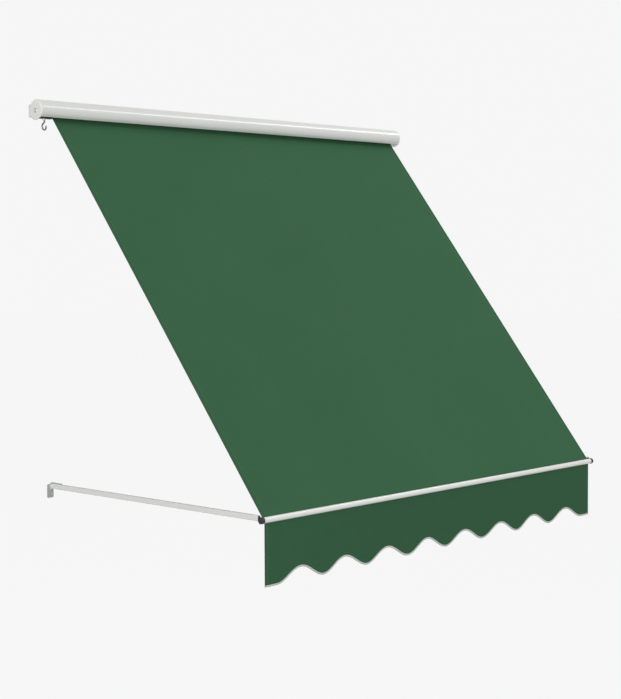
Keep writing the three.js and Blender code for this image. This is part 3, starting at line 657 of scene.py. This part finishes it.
world = bpy.data.worlds.new("studio")
bpy.context.scene.world = world
world.use_nodes = True
sky = world.node_tree
sky.nodes.clear()
room = add(sky, "ShaderNodeBackground", {"Color": linear(BACKDROP), "Strength": ROOM_LIGHT})
paper = add(sky, "ShaderNodeBackground", {"Color": linear(BACKDROP), "Strength": 1.0})
either = add(sky, "ShaderNodeMixShader", {"Fac": seen_rays(sky), 1: room.outputs[0], 2: paper.outputs[0]})
add(sky, "ShaderNodeOutputWorld", {"Surface": either.outputs[0]})

# A broad lamp from beside the camera, low, so that the cloth is lit right up to the hood
panel_lamp(at=(-14, -12, -2.2), turn=(96.8, 0, -49.4), width=6.0, height=6.0, power=1850)

# A long lamp from the front right draws the bright line along the hood
panel_lamp(at=(3.51, -2.52, 2.54), turn=(59.31, 3.8, 52.62), width=5.0, height=0.6, power=60)

bpy.ops.object.select_all(action="DESELECT")
bpy.ops.mesh.primitive_plane_add(size=FLOOR_WIDTH, location=(0, 0, FLOOR_LEVEL))
floor = bpy.context.object
floor.name = "studio_floor"
floor_paper, ground, paper_face = new_finish("pale_floor")
glow = add(ground, "ShaderNodeMath", {0: seen_rays(ground), 1: FLOOR_GLOW}, operation="MULTIPLY")
wire(ground, paper_face, {
    "Base Color": linear(FLOOR_GREY),
    "Roughness": 1.0,
    "Specular IOR Level": 0.0,
    "Emission Color": (1.0, 1.0, 1.0, 1.0),
    "Emission Strength": glow.outputs[0],
})
floor.data.materials.append(floor_paper)

bpy.context.scene.view_settings.view_transform = "Standard"

# Canopy: two widths sewn together, both outer edges folded under
# Its cut runs across the sheet as (x, height) points

LEFT_FACE = 0.45 * MM
RIGHT_FACE = -0.3 * MM
LAP_EDGE = CLOTH_MID + SEAM_LAP / 2  # where the upper width ends on the lower one
LAP_STEP = 0.4 * MM
UNDERLAP_PAST = 0.1 * MM
UNDERLAP_MAP_START = 2 * MM  # its place on the flat map, from the edge of the seam
UNDERLAP_MAP_STEP = 3 * MM

left_width = [(x, LEFT_FACE) for x in steps(CLOTH_X0 + 2 * FOLD, LAP_EDGE, WIDTH_COLUMNS)]
right_width = [(x, RIGHT_FACE) for x in steps(LAP_EDGE + LAP_STEP, CLOTH_X1 - 2 * FOLD, WIDTH_COLUMNS)]
canopy_cut = (
    folded_hem(CLOTH_X0, HEM, HEM_COLUMNS, inward=1, face=LEFT_FACE, back=-1)
    + left_width + [(LAP_EDGE, LEFT_FACE)] + right_width
    + folded_hem(CLOTH_X1, HEM, HEM_COLUMNS, inward=-1, face=RIGHT_FACE, back=-1)[::-1]
)
canopy_flat = along(canopy_cut)
underlap_x = steps(LAP_EDGE - SEAM_LAP, LAP_EDGE + UNDERLAP_PAST, UNDERLAP_COLUMNS)
underlap_flat = [SEAM[0] + UNDERLAP_MAP_START + UNDERLAP_MAP_STEP * i for i in range(UNDERLAP_COLUMNS)]


def on_slope(x, height, down):
    """A point of the sheet: the side hems run straight, the middle sags a little under its own weight."""
    slack = max(0.0, 1 - (2 * (x - CLOTH_MID) / CLOTH_WIDTH) ** HEM_HOLD)
    dip = max(0.0, math.sin(math.pi * down / RUN_LENGTH)) ** SAG_SPREAD
    return ROLL_POINT + Vector((x, 0, 0)) + CLOTH_RUN * down + CLOTH_FACE * (height - SAG * slack * dip)


def canopy_row(row):
    """How far down the slope a row of points lies."""
    return RUN_LENGTH * row / CANOPY_ROWS


canopy = cloth_grid(
    "canopy_sheet", len(canopy_cut) - 1, CANOPY_ROWS,
    lambda i, j: on_slope(*canopy_cut[i], canopy_row(j)),
    lambda i, j: (canopy_flat[i], canopy_row(j)),
)
underlap = cloth_grid(
    "seam_underlap", UNDERLAP_COLUMNS - 1, CANOPY_ROWS,
    lambda i, j: on_slope(underlap_x[i], RIGHT_FACE, canopy_row(j)),
    lambda i, j: (underlap_flat[i], canopy_row(j)),
)
thickened(canopy)
thickened(underlap)
only(canopy)
underlap.select_set(True)
bpy.ops.object.join()
smoothed(canopy)
settle(canopy, "cloth", canopy_cloth, "canopy")
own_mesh(canopy)

# Turns of cloth left on the roller

ROLL_TURNS = 1.6
ROLL_R = 18.46 * MM
ROLL_STEP = 1.1 * MM

roll_start = math.atan2(ROLL_POINT.z, ROLL_POINT.y - ROLLER_Y)
roll_points = []
for k in range(ROLL_ROWS + 1):
    turns = ROLL_TURNS * k / ROLL_ROWS
    angle = roll_start + 2 * math.pi * turns
    reach = ROLL_R - ROLL_STEP * turns
    roll_points.append((ROLLER_Y + reach * math.cos(angle), reach * math.sin(angle)))
roll_flat = along(roll_points)
roll = cloth_grid(
    "wound_cloth", ROLL_COLUMNS, ROLL_ROWS,
    lambda i, j: Vector((CLOTH_X0 + CLOTH_WIDTH * i / ROLL_COLUMNS, *roll_points[j])),
    lambda i, j: (HEM + CLOTH_WIDTH * i / ROLL_COLUMNS, roll_flat[j]),
)
thickened(roll)
smoothed(roll)
settle(roll, "roller", canopy_cloth, "cloth_roll")

# Valance: hangs from the bar, a little wavy, both ends hemmed

PITCH = (LAST_LOBE - FIRST_LOBE) / NOTCHES
RIPPLES = ((1.0, 11.3, 0.6), (0.6, 23.7, 2.1), (0.35, 41.0, 4.0))  # share, radians per metre, start
RIPPLE_DEPTH = 1.5 * MM
RIPPLE_START = 10 * MM  # the bar holds the cloth flat down to here
RIPPLE_GROWTH = 1.3


def foot(x):
    """Height of the scalloped edge, bar axis = 0."""
    phase = min(max((x - FIRST_LOBE) / PITCH, 0.0), NOTCHES)
    return -VALANCE_DROP + WAVE_HEIGHT * (1 - math.cos(2 * math.pi * phase)) / 2


def hang(x, z):
    """How far the hanging cloth stands out from its own plane."""
    low = min(1.0, max(0.0, (-z - RIPPLE_START) / VALANCE_DROP))
    wave = sum(share * math.sin(x * pace + start) for share, pace, start in RIPPLES)
    return RIPPLE_DEPTH * wave * low ** RIPPLE_GROWTH


valance_cut = (
    folded_hem(VALANCE_X0, VALANCE_HEM, VALANCE_HEM_COLUMNS, inward=1, face=0.0, back=1)
    + [(x, 0.0) for x in steps(VALANCE_X0 + 2 * FOLD, VALANCE_X1 - 2 * FOLD, VALANCE_COLUMNS)]
    + folded_hem(VALANCE_X1, VALANCE_HEM, VALANCE_HEM_COLUMNS, inward=-1, face=0.0, back=1)[::-1]
)
valance_flat = along(valance_cut)


def valance_point(i, j):
    """A point of the hanging cloth, i along it and j down it."""
    x, back = valance_cut[i]
    z = VALANCE_TOP + (foot(x) + CLOTH_FOOT - VALANCE_TOP) * j / VALANCE_ROWS
    return Vector((x, BAR_Y + hang(x, z) + back, BAR_Z + z))


valance = cloth_grid(
    "valance_sheet", len(valance_cut) - 1, VALANCE_ROWS, valance_point,
    lambda i, j: (valance_flat[i], BAR_Z - valance_point(i, j).z),
)
thickened(valance)
smoothed(valance)
settle(valance, "front", valance_cloth_painted_shade, "valance")

# Edge tape: folded over the scalloped edge, the same width all along it

TAPE_SIDE = 1.05 * MM
TAPE_FOLD = [  # half of its section as (height, distance from the cloth's middle)
    (TAPE, TAPE_SIDE),
    (TAPE * 0.6, TAPE_SIDE * 1.05),
    (2 * MM, TAPE_SIDE),
    (0.9 * MM, TAPE_SIDE * 0.85),
    (0.35 * MM, TAPE_SIDE * 0.5),
    (0.3 * MM, 0.0),
]

tape_section = TAPE_FOLD + [(up, -out) for up, out in TAPE_FOLD[-2::-1]]
tape_across = along(tape_section)
tape_line = [(x, foot(x)) for x in steps(VALANCE_X0, VALANCE_X1, TAPE_COLUMNS) + [VALANCE_X1]]
tape_flat = along(tape_line)


def tape_point(i, j):
    """A point of the tape, i along the edge and j round its section."""
    x, z = tape_line[i]
    before = tape_line[max(i - 1, 0)]
    after = tape_line[min(i + 1, TAPE_COLUMNS)]
    lean = math.atan2(after[1] - before[1], after[0] - before[0])
    up, out = tape_section[j]
    tape_x = min(max(x - up * math.sin(lean), VALANCE_X0), VALANCE_X1)
    tape_z = z + up * math.cos(lean)
    return Vector((tape_x, BAR_Y + hang(tape_x, tape_z) - out, BAR_Z + tape_z))


tape = cloth_grid(
    "valance_tape", TAPE_COLUMNS, len(tape_section) - 1, tape_point,
    lambda i, j: (tape_flat[i], min(tape_across[j], tape_across[-1] - tape_across[j])),
)
thickened(tape, TAPE_THICK)
smoothed(tape, TAPE_SMOOTH_BELOW)
settle(tape, "front", edge_tape, "valance_binding")

# Rigid pieces

ALONE = ("",)
PAIR = ("_left", "_right")

# Solids whose edges show: name, ends of its nodes' names, edge broken by so many mm, slot, finish
SHOWN = [
    ("hood", ALONE, 0.5, "white_coat", white_coat),
    ("end_cap", PAIR, 0.6, "cap_plastic", cap_plastic),
    ("roller_bracket", PAIR, 0.5, "grey_coat", grey_coat),
    ("gear_bolt", ALONE, 0.3, "zinc_steel", zinc_steel),
    ("idler_axle", ALONE, 0.3, "dark_steel", dark_steel),
    ("front_bar", ALONE, 0.2, "white_coat", bar_coat_painted_light),
    ("bar_plug", PAIR, 0.3, "nylon", natural_nylon),
    ("bar_knuckle", PAIR, 1.2, "black_plastic", black_plastic),
    ("arm_tube", PAIR, 0.3, "grey_coat", grey_coat),
    ("arm_root", PAIR, 0.8, "grey_coat", grey_coat),
    ("arm_bracket", PAIR, 0.6, "bracket_coat", bracket_coat),
    ("pivot_bolt", PAIR, 0.5, "grey_coat", grey_coat),
    ("pivot_nut", PAIR, 0.5, "zinc_steel", zinc_steel),
    ("gear_case", ALONE, 0.6, "black_plastic", black_plastic),
    ("gear_cover", ALONE, 0.6, "black_plastic", black_plastic),
    ("worm_shaft", ALONE, 0.0, "zinc_steel", zinc_steel),
    ("roller_tube", ALONE, 0.0, "zinc_steel", zinc_steel),
]
for name, ends, edge, slot, finish in SHOWN:
    for end in ends:
        node = name + end
        settle(softened(node, edge), body_of[node], finish, node)

# Bent wire is round, so its facets are smoothed over
eye = softened("crank_eye", 0.0, round_off=1)
settle(eye, body_of["crank_eye"], dark_steel, "crank_eye")

# Solids that stay as they are, with their real finish
KEPT = {
    "idler_nut": zinc_steel,
    "gear_screw_upper": zinc_steel,
    "gear_screw_lower": zinc_steel,
    "worm_wheel": gear_bronze,
    "drive_plug": black_plastic,
    "idler_plug": black_plastic,
    "idler_bush": natural_nylon,
    "roller_cord": natural_nylon,
    "canopy_cord": natural_nylon,
    "valance_cord": natural_nylon,
}
for node, finish in KEPT.items():
    nodes[node].data.materials.clear()
    nodes[node].data.materials.append(finish)
